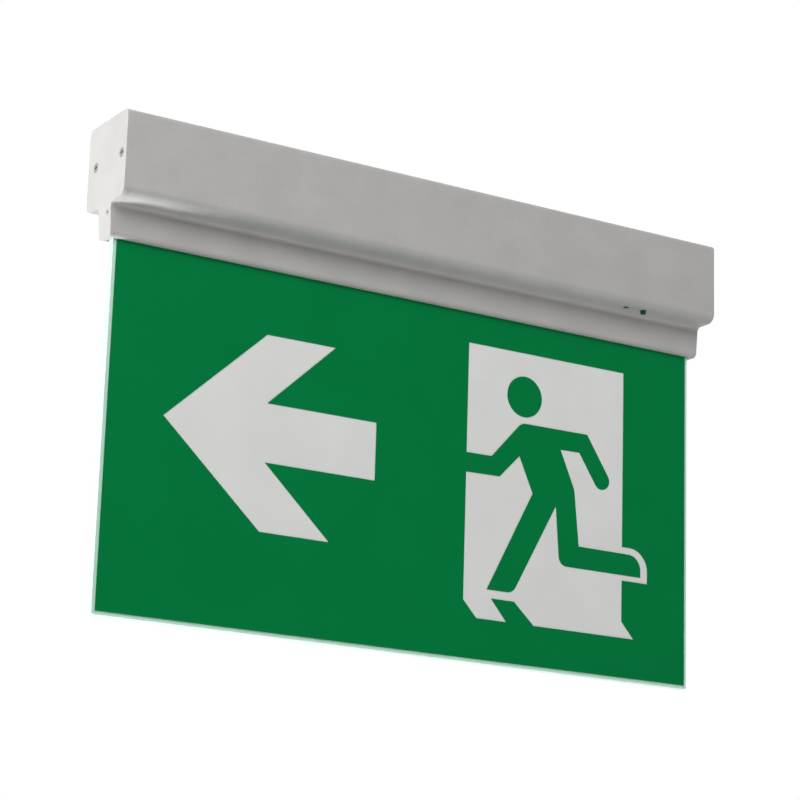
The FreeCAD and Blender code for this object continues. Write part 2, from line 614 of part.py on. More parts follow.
def make_legend(side_name, side):
    """White film and green print on one face of the blade; side is -1 in front and 1 behind."""
    film = new_body("legend_film_" + side_name)
    sheet_outline = new_sketch(film, "XZ_Plane", "film_" + side_name)
    legend_box(sheet_outline)
    pad(sheet_outline, "Sizes.film_thick")
    film_face = "Sizes.plate_thick/2" if side < 0 else "Sizes.plate_thick/2 + Sizes.film_thick"
    put(film, deep="%d*(%s)" % (side, film_face))
    keep(film, "legend_film_" + side_name)

    thick = "Sizes.print_thick"
    green = new_body("green_field_" + side_name)
    field = new_sketch(green, "XZ_Plane", "field_" + side_name)
    legend_box(field)
    pad(field, thick)
    lower = [(across, -up) for across, up in reversed(ARROW[1:])]
    arrow = [(across, up + ARROW_LINE) for across, up in ARROW + lower]
    arrow_body = figure_body("arrow_" + side_name, arrow, [], thick)
    door_body = figure_body("door_" + side_name, DOOR, DOOR_ROUNDS, thick)
    runner_body = figure_body("runner_" + side_name, RUNNER, RUNNER_ROUNDS, thick)
    (head_x, head_z), head_radius = HEAD
    (across, up), = figure_points([(head_x, head_z)])
    head = rod("head_" + side_name, "%s*Sizes.figure_scale" % head_radius, thick,
               across, "0", up, (0, -1, 0))
    cleared = cut("cleared_" + side_name, green, [arrow_body, door_body])
    whole = joined("legend_print_" + side_name, [cleared, runner_body, head])
    print_face = "Sizes.plate_thick/2 + Sizes.film_thick"
    if side > 0:
        print_face += " + Sizes.print_thick"
    put(whole, deep="%d*(%s)" % (side, print_face))
    return keep(whole, "legend_print_" + side_name)


# ---------------------------------------------------------------- light strip
def make_light_strip():
    half = "(%s - Sizes.fit_gap)" % NECK_INNER
    strip = block("led_strip_board", "2*" + STRIP_HALF, "2*" + half, "Sizes.strip_thick",
                  "-" + STRIP_HALF, "-" + half, "-Sizes.box_height - Sizes.strip_thick")
    keep(strip, "led_strip_board")
    chips = []
    count = int(size("chip_count"))
    for number in range(count):
        share = (number - (count - 1) / 2.0) * 2 / count
        place = "%s*%s - Sizes.chip_long/2" % (share, STRIP_HALF)
        chips.append(block("chip%d" % number, "Sizes.chip_long", "Sizes.chip_wide", "Sizes.chip_thick",
                           place, "-Sizes.chip_wide/2",
                           "-Sizes.box_height - Sizes.strip_thick - Sizes.chip_thick"))
    keep(group("led_chips", chips), "led_chips")


# ---------------------------------------------------------------- gear tray and what stands on it
def make_gear_tray():
    length = "2*(%s - Sizes.cap_tab - Sizes.loose_gap)" % CAP_INNER
    strip = block("tray_strip", length, "Sizes.tray_width", "Sizes.tray_thick",
                  "-%s/2" % length, GEAR_Y + " - Sizes.tray_width/2", FLOOR)
    hole = rod("tray_lead_hole", "Sizes.lead_hole", "Sizes.tray_thick + 2", LEAD_X, "0", FLOOR + " - 1")
    return keep(cut("gear_tray", strip, [hole]), "gear_tray")


def battery_axis():
    return "(%s + Sizes.clip_thick + Sizes.cell_radius)" % TRAY_TOP


def make_battery_pack():
    """Three cells end to end in one smooth sleeve."""
    pack = rod("battery_pack", "Sizes.cell_radius", "Sizes.cell_count*Sizes.cell_length",
               BATTERY_X, GEAR_Y + " + Sizes.battery_y", battery_axis(), (1, 0, 0))
    return keep(pack, "battery_pack")


def make_battery_clips():
    """Two folded strips whose sides lean in over the pack and whose lips spread at the mouth."""
    inside = "(Sizes.cell_radius + Sizes.touch_gap)"
    outside = "(%s + Sizes.clip_thick)" % inside
    low = "(-Sizes.clip_thick - Sizes.cell_radius)"
    knee = "Sizes.cell_radius*0.35"
    neck = "Sizes.cell_radius*0.85"
    tip = "(%s + Sizes.clip_mouth)" % neck
    side = [
        (outside, low), (outside, knee), (outside + " - Sizes.clip_lean", neck),
        (outside, tip), (inside, tip), (inside + " - Sizes.clip_lean", neck), (inside, knee),
        (inside, low + " + Sizes.clip_thick"),
    ]
    clips = []
    for number, place in enumerate((
        BATTERY_X + " + Sizes.clip_inset",
        BATTERY_END + " - Sizes.clip_inset - Sizes.clip_wide",
    )):
        clip = new_body("clip%d" % number)
        strip = new_sketch(clip, "YZ_Plane", "clip%d_strip" % number)
        outline(strip, mirrored(side))
        pad(strip, "Sizes.clip_wide")
        put(clip, place, GEAR_Y + " + Sizes.battery_y", battery_axis())
        clips.append(clip)
    return keep(group("battery_clips", clips), "battery_clips")


def make_terminal_block():
    """A three-pole block: a square wire way through each pole and a square screw well over it."""
    body = block("terminal_body", "Sizes.block_long", "Sizes.block_wide", "Sizes.block_tall",
                 BLOCK_X, GEAR_Y + " - Sizes.block_wide/2", TRAY_TOP)
    tools = []
    heads = []
    way_low = "%s + Sizes.block_tall/2 - Sizes.wire_way" % TRAY_TOP
    well_low = "%s + Sizes.block_tall - Sizes.well_depth" % TRAY_TOP
    for pole in (-1, 0, 1):
        across = "(%s + Sizes.block_long/2 + %d*Sizes.pole_pitch)" % (BLOCK_X, pole)
        tools.append(block("wire_way%d" % pole, "Sizes.wire_way", "Sizes.block_wide + 2",
                           "Sizes.wire_way", across + " - Sizes.wire_way/2",
                           GEAR_Y + " - Sizes.block_wide/2 - 1", way_low))
        tools.append(block("well%d" % pole, "Sizes.well_side", "Sizes.well_side",
                           "Sizes.well_depth + 1", across + " - Sizes.well_side/2",
                           GEAR_Y + " - Sizes.well_side/2", well_low))
        head = rod("terminal_head%d" % pole, "Sizes.well_side/2 - Sizes.fit_gap",
                   "Sizes.well_depth - 1", across, GEAR_Y, well_low)
        slot = block("terminal_slot%d" % pole, "Sizes.well_side", "Sizes.pan_slot", "1",
                     across + " - Sizes.well_side/2", GEAR_Y + " - Sizes.pan_slot/2",
                     "%s + Sizes.well_depth - 1.8" % well_low)
        heads.append(cut("terminal_screw%d" % pole, head, [slot]))
    keep(cut("terminal_block", body, tools), "terminal_block")
    keep(group("terminal_screws", heads), "terminal_screws")


def make_cable_clamp():
    """A saddle under the cable hole, with one foot under a rail's hook and a screw in the other."""
    body = new_body("cable_clamp")
    saddle = new_sketch(body, "YZ_Plane", "saddle")
    half = "(Sizes.tray_width/2 - Sizes.rail_hook - Sizes.loose_gap)"
    leg = "(Sizes.clamp_inside/2)"
    top = "Sizes.clamp_tall"
    roof = "(Sizes.clamp_tall - Sizes.clamp_thick)"
    outside = "(%s + Sizes.clamp_thick)" % leg
    outline(saddle, mirrored([
        (leg, roof), (leg, "0"), (half, "0"), (half, "Sizes.clamp_thick"),
        (outside, "Sizes.clamp_thick"), (outside, top),
    ]))
    pad(saddle, "Sizes.clamp_wide", centred=True)
    screw_deep = "(%s + %s)/2" % (outside, half)
    holes = new_sketch(body, "XY_Plane", "clamp_hole")
    disc(holes, "0", "-" + screw_deep, "Sizes.pan_shank + Sizes.touch_gap")
    pocket(holes, "3*Sizes.clamp_thick", centred=True)
    put(body, CABLE_X, GEAR_Y, TRAY_TOP)
    keep(body, "cable_clamp")
    fixing = pan_screw("clamp_screw", "Sizes.clamp_thick", CABLE_X, "%s - %s" % (GEAR_Y, screw_deep),
                       "(%s + Sizes.clamp_thick)" % TRAY_TOP)
    keep(fixing, "clamp_screw")


def make_control_board():
    """The board, and four moulded hooks on the tray that it snaps down between."""
    board = block("board_blank", "%s - %s" % (BOARD_END, BOARD_X),
                  "%s + %s + Sizes.board_back" % (BOARD_FRONT, GEAR_Y), "Sizes.board_thick", BOARD_X,
                  "-" + BOARD_FRONT, BOARD_LOW)
    edge = "Sizes.board_back"
    out = "(%s + Sizes.fit_gap + Sizes.hook_thick)" % edge
    inn = "(%s + Sizes.fit_gap)" % edge
    nose = "(%s - Sizes.hook_grip)" % edge
    heel = "(%s - Sizes.standoff_wide/2)" % edge
    seat = "Sizes.standoff_tall"
    under = "(Sizes.standoff_tall + Sizes.board_thick + Sizes.touch_gap)"
    profile = [
        (heel, "0"), (out, "0"), (out, under + " + Sizes.hook_rise"), (nose, under + " + 0.4"),
        (nose, under), (inn, under), (inn, seat), (heel, seat),
    ]
    slots = []
    hooks = []
    for end, across in enumerate((
        "(%s + Sizes.standoff_inset)" % BOARD_X, "(%s - Sizes.standoff_inset)" % BOARD_END,
    )):
        slots.append(block("hook_slot%d" % end, "Sizes.standoff_wide + 2*Sizes.fit_gap",
                           "Sizes.hook_thick + 2*Sizes.fit_gap", "Sizes.board_thick + 2",
                           "%s - Sizes.standoff_wide/2 - Sizes.fit_gap" % across,
                           "%s - %s - Sizes.fit_gap" % (GEAR_Y, out), BOARD_LOW + " - 1"))
        for side, sign in (("back", ""), ("front", "-")):
            hook = new_body("hook_%s%d" % (side, end))
            shape = new_sketch(hook, "YZ_Plane", "hook_%s%d_profile" % (side, end))
            outline(shape, [(sign + deep, up) for deep, up in profile])
            pad(shape, "Sizes.standoff_wide", centred=True)
            put(hook, across, GEAR_Y, TRAY_TOP)
            hooks.append(hook)
    keep(cut("control_board", board, slots), "control_board")
    keep(group("board_hooks", hooks), "board_hooks")


def make_board_parts():
    """The converter's coil, its smoothing cans, the test switch and the indicator lamp."""
    coil_x = BOARD_X + " + Sizes.coil_gap"
    core = block("coil_core", "Sizes.coil_long", "Sizes.coil_wide", "Sizes.coil_tall*0.55",
                 coil_x, "-Sizes.coil_wide/2", BOARD_TOP + " + Sizes.coil_tall*0.3")
    bobbin = block("coil_bobbin", "Sizes.coil_long*0.7", "Sizes.coil_wide*0.85", "Sizes.coil_tall",
                   coil_x + " + Sizes.coil_long*0.15", "-Sizes.coil_wide*0.425", BOARD_TOP)
    keep(joined("transformer", [core, bobbin]), "transformer")
    cans = []
    for number in (0, 1):
        across = "%s + Sizes.coil_long + Sizes.can_gap + %d*Sizes.can_pitch" % (coil_x, number)
        cans.append(rod("can%d" % number, "Sizes.can_radius", "Sizes.can_tall", across, "0", BOARD_TOP))
    keep(group("smoothing_capacitors", cans), "smoothing_capacitors")

    switch_low = "(%s - Sizes.switch_tall)" % BOARD_LOW
    case = block("switch_case", "Sizes.switch_side", "Sizes.switch_side", "Sizes.switch_tall",
                 BUTTON_X + " - Sizes.switch_side/2",
                 BUTTON_Y + " - Sizes.switch_side/2 + Sizes.switch_offset", switch_low)
    plunger = rod("switch_plunger", "Sizes.plunger_radius", "Sizes.plunger_tall", BUTTON_X,
                  BUTTON_Y, switch_low + " - Sizes.plunger_tall")
    keep(joined("test_switch", [case, plunger]), "test_switch")
    lamp = block("indicator_led", "Sizes.lamp_side", "Sizes.lamp_side", "Sizes.lamp_tall",
                 LENS_X + " - Sizes.lamp_side/2", BUTTON_Y + " - Sizes.lamp_side/2",
                 BOARD_LOW + " - Sizes.lamp_tall")
    keep(lamp, "indicator_led")


def make_test_button():
    """A pin button: tip below the housing, flange on the floor and a stem towards the switch."""
    body = new_body("test_button")
    half = new_sketch(body, "XZ_Plane", "button_half")
    tip = "(-Sizes.box_height - Sizes.button_proud)"
    seat = "(%s + Sizes.loose_gap)" % FLOOR
    flange_top = "(%s + Sizes.flange_thick)" % seat
    plunger_low = "(%s - Sizes.switch_tall - Sizes.plunger_tall)" % BOARD_LOW
    stem_top = "(%s - Sizes.button_travel - Sizes.touch_gap)" % plunger_low
    outline(half, [
        ("0", tip), ("Sizes.button_radius", tip), ("Sizes.button_radius", seat),
        ("Sizes.flange_radius", seat), ("Sizes.flange_radius", flange_top),
        ("Sizes.stem_radius", flange_top), ("Sizes.stem_radius", stem_top), ("0", stem_top),
    ])
    turned(half, "V_Axis")
    put(body, BUTTON_X, BUTTON_Y)
    keep(body, "test_button")
    return flange_top, "(%s - Sizes.switch_tall)" % BOARD_LOW


def make_button_spring(low, high):
    """A flat-wire coil spring between the button's flange and the switch."""
    half_tall = size("strip_tall") / 2
    half_wide = size("strip_wide") / 2
    radius = size("spring_radius")
    bottom = worked_out(low) + size("touch_gap") + half_tall
    tall = worked_out(high) - size("touch_gap") - half_tall - bottom
    path = Part.makeHelix(tall / size("spring_turns"), tall, radius)
    corners = [FreeCAD.Vector(radius + across * half_wide, 0, up * half_tall)
               for across, up in ((-1, -1), (1, -1), (1, 1), (-1, 1), (-1, -1))]
    spring = doc.addObject("Part::Feature", "test_button_spring")
    spring.Shape = Part.Wire(path.Edges).makePipeShell([Part.makePolygon(corners)], True, True)
    spring.Placement = FreeCAD.Placement(
        FreeCAD.Vector(worked_out(BUTTON_X), worked_out(BUTTON_Y), bottom), FreeCAD.Rotation())
    return keep(spring, "test_button_spring")


def make_indicator_lens():
    """A light pipe with a shoulder: its thin end shows below and its thick end faces the lamp."""
    body = new_body("indicator_lens")
    half = new_sketch(body, "XZ_Plane", "lens_half")
    tip = "(-Sizes.box_height - Sizes.lens_proud)"
    seat = "(%s + Sizes.loose_gap)" % FLOOR
    top = "(%s - Sizes.lamp_tall - Sizes.fit_gap)" % BOARD_LOW
    outline(half, [
        ("0", tip), ("Sizes.lens_radius", tip), ("Sizes.lens_radius", seat),
        ("Sizes.flange_radius", seat), ("Sizes.flange_radius", top), ("0", top),
    ])
    turned(half, "V_Axis")
    put(body, LENS_X, BUTTON_Y)
    return keep(body, "indicator_lens")


# ---------------------------------------------------------------- build, check and write
make_housing_profile()
make_end_cap("end_cap_left", -1)
make_end_cap("end_cap_right", 1)
make_end_screws()
make_mounting_plate()
make_cable_grommet()
make_blade()
make_plate_keys()
make_legend("front", -1)
make_legend("back", 1)
make_light_strip()
make_gear_tray()
make_battery_pack()
make_battery_clips()
make_terminal_block()
make_cable_clamp()
make_control_board()
make_board_parts()
make_button_spring(*make_test_button())
make_indicator_lens()
doc.recompute()

for thing in doc.Objects:
    faults = [word for word in thing.State if word in ("Invalid", "Error")]
    if faults:
        raise ValueError("%s is %s" % (thing.Name, faults))
os.makedirs("parts", exist_ok=True)
for piece in pieces:
    if piece.Shape.isNull() or not piece.Shape.isValid():
        raise ValueError("%s has a bad shape" % piece.Label)
    piece.Shape.exportStep("parts/%s.step" % piece.Label)
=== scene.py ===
"""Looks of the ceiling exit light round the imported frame: finishes, small pieces, camera and lamps."""
import json
import math

import bpy
from mathutils import Matrix, Vector


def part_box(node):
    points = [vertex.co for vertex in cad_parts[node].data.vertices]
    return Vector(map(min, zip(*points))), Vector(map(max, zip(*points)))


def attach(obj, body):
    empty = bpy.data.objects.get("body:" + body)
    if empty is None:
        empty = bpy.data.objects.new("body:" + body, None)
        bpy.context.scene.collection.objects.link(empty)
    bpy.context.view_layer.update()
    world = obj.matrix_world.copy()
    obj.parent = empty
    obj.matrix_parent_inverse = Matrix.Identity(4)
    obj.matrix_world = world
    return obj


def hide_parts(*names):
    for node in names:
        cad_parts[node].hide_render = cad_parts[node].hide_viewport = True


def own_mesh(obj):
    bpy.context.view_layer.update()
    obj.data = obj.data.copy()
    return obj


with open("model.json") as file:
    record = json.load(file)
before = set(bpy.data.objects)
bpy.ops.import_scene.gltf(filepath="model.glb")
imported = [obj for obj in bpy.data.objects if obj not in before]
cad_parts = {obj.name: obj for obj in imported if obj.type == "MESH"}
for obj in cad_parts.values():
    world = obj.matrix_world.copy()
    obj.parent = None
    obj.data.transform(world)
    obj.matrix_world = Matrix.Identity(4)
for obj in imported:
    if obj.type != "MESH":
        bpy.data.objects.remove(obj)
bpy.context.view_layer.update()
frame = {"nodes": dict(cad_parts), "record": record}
NODES = frame["nodes"]
scene = bpy.context.scene
MM = 0.001


# ---------------------------------------------------------------- finishes
# A mix node has sockets of the same name for each kind of data. These are the ones that mix colours.
MIX_FACTOR, MIX_FIRST, MIX_SECOND = 0, 6, 7
MIX_RESULT = 2


class Finish:
    """A node material on the object's own coordinates, in metres."""

    def __init__(self, name):
        self.material = bpy.data.materials.new(name)
        self.material.use_nodes = True
        self.tree = self.material.node_tree
        self.tree.nodes.clear()
        self.out = self.add("ShaderNodeOutputMaterial")
        self.shader = self.add("ShaderNodeBsdfPrincipled")
        self.link(self.shader.outputs["BSDF"], self.out.inputs["Surface"])
        self.place = self.add("ShaderNodeTexCoord").outputs["Object"]

    def add(self, kind, **values):
        """A node of that kind, with its own properties set."""
        node = self.tree.nodes.new(kind)
        for key, value in values.items():
            setattr(node, key, value)
        return node

    def link(self, source, target):
        self.tree.links.new(source, target)

    def settings(self, **values):
        """Set the shader's own sockets, named with _ for a space."""
        for key, value in values.items():
            self.shader.inputs[key.replace("_", " ")].default_value = value
        return self

    def stretched(self, scales):
        """The object's coordinates, scaled along X, Y and Z."""
        node = self.add("ShaderNodeMapping")
        node.inputs["Scale"].default_value = scales
        self.link(self.place, node.inputs["Vector"])
        return node.outputs["Vector"]

    def noise(self, scale, detail=3.0, roughness=0.55, stretch=None):
        """A noise from 0 to 1, on coordinates scaled by stretch where it is given."""
        node = self.add("ShaderNodeTexNoise")
        node.inputs["Scale"].default_value = scale
        node.inputs["Detail"].default_value = detail
        node.inputs["Roughness"].default_value = roughness
        self.link(self.stretched(stretch) if stretch else self.place, node.inputs["Vector"])
        return node.outputs["Fac"]

    def ramp(self, value, stops):
        """Colours or greys along a value, as (place, colour) stops."""
        node = self.add("ShaderNodeValToRGB")
        ramp = node.color_ramp
        while len(ramp.elements) < len(stops):
            ramp.elements.new(0.5)
        for element, (place, colour) in zip(ramp.elements, stops):
            element.position = place
            grey = isinstance(colour, (int, float))
            element.color = (colour, colour, colour, 1) if grey else (*colour, 1)
        self.link(value, node.inputs["Fac"])
        return node.outputs["Color"]

    def multiplied(self, first, second):
        """One colour socket times another."""
        node = self.add("ShaderNodeMix", data_type="RGBA", blend_type="MULTIPLY")
        node.inputs[MIX_FACTOR].default_value = 1.0
        self.link(first, node.inputs[MIX_FIRST])
        self.link(second, node.inputs[MIX_SECOND])
        return node.outputs[MIX_RESULT]

    def bump(self, height, distance, strength):
        """Relief from a height that goes from 0 to 1, over that distance in metres."""
        node = self.add("ShaderNodeBump")
        node.inputs["Strength"].default_value = strength
        node.inputs["Distance"].default_value = distance
        self.link(height, node.inputs["Height"])
        self.link(node.outputs["Normal"], self.shader.inputs["Normal"])

    def colour(self, socket):
        """Take the base colour from that socket."""
        self.link(socket, self.shader.inputs["Base Color"])

    def rough(self, value, low, high):
        """Roughness from low to high as the value goes from 0 to 1."""
        node = self.add("ShaderNodeMapRange")
        node.inputs["To Min"].default_value = low
        node.inputs["To Max"].default_value = high
        self.link(value, node.inputs["Value"])
        self.link(node.outputs["Result"], self.shader.inputs["Roughness"])


def tinted(colour, share):
    """The colour times share, and no more than 1."""
    return tuple(min(1.0, part * share) for part in colour)


def mottled(finish, colour, spread, scale):
    """The colour a little darker and lighter in soft patches."""
    patches = finish.noise(scale, detail=4.0)
    shades = [(0.35, tinted(colour, 1 - spread)), (0.65, tinted(colour, 1 + spread))]
    return finish.ramp(patches, shades)


def powder_coat():
    """Silver-grey satin powder coat: orange peel, a fine grain and faint cloudiness."""
    finish = Finish("powder_coat_satin")
    base = (0.470, 0.457, 0.440)
    clouds = mottled(finish, base, spread=0.035, scale=45)
    grain = finish.ramp(finish.noise(2600, detail=2.0), [(0.3, 0.93), (0.7, 1.05)])
    finish.colour(finish.multiplied(clouds, grain))
    finish.rough(finish.noise(900), low=0.42, high=0.58)
    peel = finish.noise(1100, detail=3.0, roughness=0.6)
    finish.bump(peel, distance=0.05 * MM, strength=0.55)
    return finish.settings(Specular_IOR_Level=0.42).material


def white_film():
    """Matt white sign film with a fine tooth."""
    finish = Finish("legend_white_film")
    base = (0.79, 0.795, 0.771)
    finish.colour(mottled(finish, base, spread=0.02, scale=30))
    finish.rough(finish.noise(1500), low=0.5, high=0.62)
    finish.bump(finish.noise(2200), distance=0.02 * MM, strength=0.3)
    return finish.settings(Specular_IOR_Level=0.1).material


def green_print():
    """Screen-printed green: even, with a fine grain and soft clouds."""
    finish = Finish("legend_green_print")
    base = (0.0008, 0.205, 0.052)
    clouds = mottled(finish, base, spread=0.025, scale=22)
    grain = finish.ramp(finish.noise(1700, detail=2.0), [(0.3, 0.95), (0.7, 1.05)])
    finish.colour(finish.multiplied(clouds, grain))
    finish.rough(finish.noise(1300), low=0.55, high=0.7)
    finish.bump(finish.noise(2500), distance=0.02 * MM, strength=0.3)
    return finish.settings(Specular_IOR_Level=0.03).material


def clear_acrylic():
    """Edge-lit acrylic: its cut edges are pale mint, partly the plate's tint and partly painted glow for
    light piped through it, with fine saw marks across them.
    """
    finish = Finish("acrylic_edges_painted_glow")
    # Pale mint: the acrylic's tint, brightened as painted glow for light piped through the plate.
    base = (0.66, 0.95, 0.79)
    finish.colour(mottled(finish, base, spread=0.03, scale=60))
    marks = finish.noise(500, detail=2.0, roughness=0.6, stretch=(1.0, 0.05, 1.0))
    finish.rough(marks, low=0.10, high=0.28)
    finish.bump(marks, distance=0.03 * MM, strength=0.3)
    return finish.settings(Transmission_Weight=0.2, IOR=1.49).material


def metal(name, colour, low, high, stretch, scale):
    """Plated or rolled metal: cloudy lustre, and marks that are longer along an axis stretched under 1."""
    finish = Finish(name)
    finish.colour(mottled(finish, colour, spread=0.06, scale=130))
    marks = finish.noise(scale, detail=4.0, roughness=0.65, stretch=stretch)
    finish.rough(marks, low, high)
    finish.bump(marks, distance=0.02 * MM, strength=0.5)
    return finish.settings(Metallic=1.0).material


def moulded(name, colour, low, high, grain=1500, spread=0.04, **settings):
    """Moulded plastic, rubber or ferrite: soft clouds in the colour and a fine grain."""
    finish = Finish(name)
    finish.colour(mottled(finish, colour, spread, scale=160))
    texture = finish.noise(grain, detail=3.0)
    finish.rough(texture, low, high)
    finish.bump(texture, distance=0.03 * MM, strength=0.4)
    return finish.settings(**settings).material


def circuit_board(name, colour, track):
    """Solder mask in even fields, with copper tracks of another shade between them."""
    finish = Finish(name)
    node = finish.add("ShaderNodeTexBrick")
    node.inputs["Scale"].default_value = 180
    node.inputs["Mortar Size"].default_value = 0.05
    node.inputs["Color1"].default_value = (*colour, 1)
    node.inputs["Color2"].default_value = (*tinted(colour, 0.85), 1)
    node.inputs["Mortar"].default_value = (*track, 1)
    finish.link(finish.place, node.inputs["Vector"])
    finish.colour(node.outputs["Color"])
    finish.rough(finish.noise(700), low=0.25, high=0.4)
    finish.bump(node.outputs["Fac"], distance=0.03 * MM, strength=0.4)
    return finish.material


def lamp_phosphor():
    """The yellow gel over an LED chip."""
    finish = Finish("lamp_phosphor")
    finish.colour(mottled(finish, (0.85, 0.78, 0.38), spread=0.08, scale=900))
    finish.rough(finish.noise(2400), low=0.3, high=0.5)
    return finish.settings(Subsurface_Weight=0.1).material


# The two numbers after a colour are the finish's lowest and highest roughness.
FINISHES = {
    "powder_coat": powder_coat(),
    "bright_steel": metal("zinc_plated_steel", (0.42, 0.42, 0.41), 0.25, 0.45, (1, 1, 1), 900),
    "zinc_sheet": metal("galvanised_sheet", (0.58, 0.59, 0.60), 0.3, 0.5, (0.15, 1, 1), 500),
    "black_rubber": moulded("grommet_rubber", (0.025, 0.025, 0.026), 0.6, 0.8),
    "clear_acrylic": clear_acrylic(),
    "white_film": white_film(),
    "green_print": green_print(),
    "white_board": circuit_board("white_solder_mask", (0.80, 0.80, 0.79), (0.70, 0.70, 0.68)),
    "led_phosphor": lamp_phosphor(),
    "battery_sleeve": moulded("battery_sleeve", (0.04, 0.13, 0.32), 0.25, 0.4, 600),
    "terminal_plastic": moulded("terminal_plastic", (0.72, 0.71, 0.66), 0.35, 0.5),
    "green_board": circuit_board("green_solder_mask", (0.012, 0.13, 0.05), (0.05, 0.26, 0.12)),
    "dark_ferrite": moulded("transformer_core", (0.05, 0.048, 0.045), 0.5, 0.7, 1100, 0.1),
    "can_aluminium": metal("capacitor_can", (0.62, 0.62, 0.64), 0.2, 0.35, (1, 1, 0.1), 800),
    "switch_plastic": moulded("switch_plastic", (0.03, 0.03, 0.03), 0.35, 0.5),
    "button_plastic": moulded("button_plastic", (0.002, 0.085, 0.035), 0.4, 0.5, Specular_IOR_Level=0.06),
    "lens_plastic": moulded("lens_plastic", (0.004, 0.13, 0.055), 0.25, 0.35, Specular_IOR_Level=0.1),
}
SLOTS = {part["node"]: part["material_slot"] for part in frame["record"]["subparts"]}
for name, piece in NODES.items():
    piece.data.materials.clear()
    piece.data.materials.append(FINISHES[SLOTS[name]])
# The neck screws look paler than the cap screws, so they leave their slot's finish for a paler copy of the
# same screw steel.
pale_steel = metal("paler_screw_steel", (0.66, 0.66, 0.64), 0.35, 0.5, (1, 1, 1), 900)
NODES["neck_screws"].data.materials[0] = pale_steel


# ---------------------------------------------------------------- softened edges
CAP_EDGE = 0.45 * MM
PLATE_EDGE = 0.15 * MM
SAME_POINT = 0.002 * MM
SHARP_EDGE = math.radians(32)


def softened(name, width, segments=3):
    """Break a node's sharp edges, as a tool or a coat of paint leaves them."""
    piece = NODES[name]
    weld = piece.modifiers.new("weld", "WELD")
    weld.merge_threshold = SAME_POINT
    bevel = piece.modifiers.new("bevel", "BEVEL")
    bevel.width = width
    bevel.segments = segments
    bevel.limit_method = "ANGLE"
    bevel.angle_limit = SHARP_EDGE
    bevel.harden_normals = True


for cap in ("end_cap_left", "end_cap_right"):
    softened(cap, CAP_EDGE)
softened("light_guide_plate", PLATE_EDGE, segments=2)


# ---------------------------------------------------------------- button, its spring and the lens
CREASE = math.radians(35)
ON_AXIS = 0.0001 * MM


def arc(centre_radius, centre_height, radius, start, end, steps=8):
    """Points (radius, height) along an arc; angles in degrees from outwards, anticlockwise."""
    points = []
    for step in range(steps + 1):
        angle = math.radians(start + (end - start) * step / steps)
        points.append((centre_radius + radius * math.cos(angle), centre_height + radius * math.sin(angle)))
    return points


def solid(name, verts, faces, finish):
    """A smooth piece from points and faces, with its slot's finish."""
    mesh = bpy.data.meshes.new(name)
    mesh.from_pydata(verts, [], faces)
    mesh.shade_smooth()
    mesh.set_sharp_from_angle(angle=CREASE)
    mesh.materials.append(FINISHES[finish])
    piece = bpy.data.objects.new(name, mesh)
    scene.collection.objects.link(piece)
    return piece


def lathe(name, profile, across, deep, finish, sides=48):
    """A solid turned about the upright line at (across, deep), from (radius, height) points."""
    verts, faces, rings = [], [], []
    for radius, height in profile:
        if radius < ON_AXIS:
            rings.append([len(verts)])
            verts.append((across, deep, height))
            continue
        rings.append(range(len(verts), len(verts) + sides))
        for side in range(sides):
            angle = math.tau * side / sides
            verts.append((across + radius * math.cos(angle), deep + radius * math.sin(angle), height))
    for low, high in zip(rings, rings[1:]):
        for side in range(sides):
            after = (side + 1) % sides
            if len(low) == 1:
                faces.append((low[0], high[after], high[side]))
            elif len(high) == 1:
                faces.append((low[side], low[after], high[0]))
            else:
                faces.append((low[side], low[after], high[after], high[side]))
    return solid(name, verts, faces, finish)


def coil(name, centre, low, high, radius, turns, wide, tall, finish, steps=120, sides=10):
    """A coil spring of oval wire, from low to high about the upright line through centre."""
    verts, faces = [], []
    start, rise = low + tall / 2, high - low - tall
    for step in range(steps + 1):
        along = step / steps
        angle = math.tau * turns * along
        for side in range(sides):
            round_wire = math.tau * side / sides
            out = radius + wide / 2 * math.cos(round_wire)
            height = start + rise * along + tall / 2 * math.sin(round_wire)
            verts.append((centre.x + out * math.cos(angle), centre.y + out * math.sin(angle), height))
    for step in range(steps):
        for side in range(sides):
            after = (side + 1) % sides
            near, far = step * sides, (step + 1) * sides
            faces.append((near + side, far + side, far + after, near + after))
    faces.append(tuple(range(sides)))
    faces.append(tuple(reversed(range(steps * sides, (steps + 1) * sides))))
    return solid(name, verts, faces, finish)


PIN_RADIUS = 1.5 * MM
FLANGE_RADIUS = 2.2 * MM
STEM_RADIUS = 1.0 * MM
TIP_ROUND = 0.75 * MM
SPRING_RADIUS = 1.8 * MM
FLANGE_TALL = 1.0 * MM
LENS_RISE = 0.4 * MM
SPRING_TURNS = 2.5
SPRING_WIDE = 0.3 * MM
SPRING_THICK = 0.5 * MM
SPRING_GAP = 0.05 * MM

button_low, button_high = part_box("test_button")
spring_low, spring_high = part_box("test_button_spring")
flange_top = spring_low.z - SPRING_GAP
flange_seat = flange_top - FLANGE_TALL
button_at = (button_low + button_high) / 2

# The button is a pin with a rounded tip, a flange on the floor and a thinner stem.
button = lathe("moulded_test_button", [
    (0.0, button_low.z),
    *arc(PIN_RADIUS - TIP_ROUND, button_low.z + TIP_ROUND, TIP_ROUND, -90, 0),
    (PIN_RADIUS, flange_seat), (FLANGE_RADIUS, flange_seat), (FLANGE_RADIUS, flange_top),
    (STEM_RADIUS, flange_top), (STEM_RADIUS, button_high.z), (0.0, button_high.z),
], button_at.x, button_at.y, "button_plastic")
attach(button, "test_button")
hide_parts("test_button")

# Its spring is a steel coil where the imported spring stood, held by the housing.
spring = coil("coiled_button_spring", button_at, spring_low.z, spring_high.z,
              SPRING_RADIUS, SPRING_TURNS, SPRING_WIDE, SPRING_THICK, "bright_steel")
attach(spring, "luminaire")
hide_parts("test_button_spring")
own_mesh(spring)

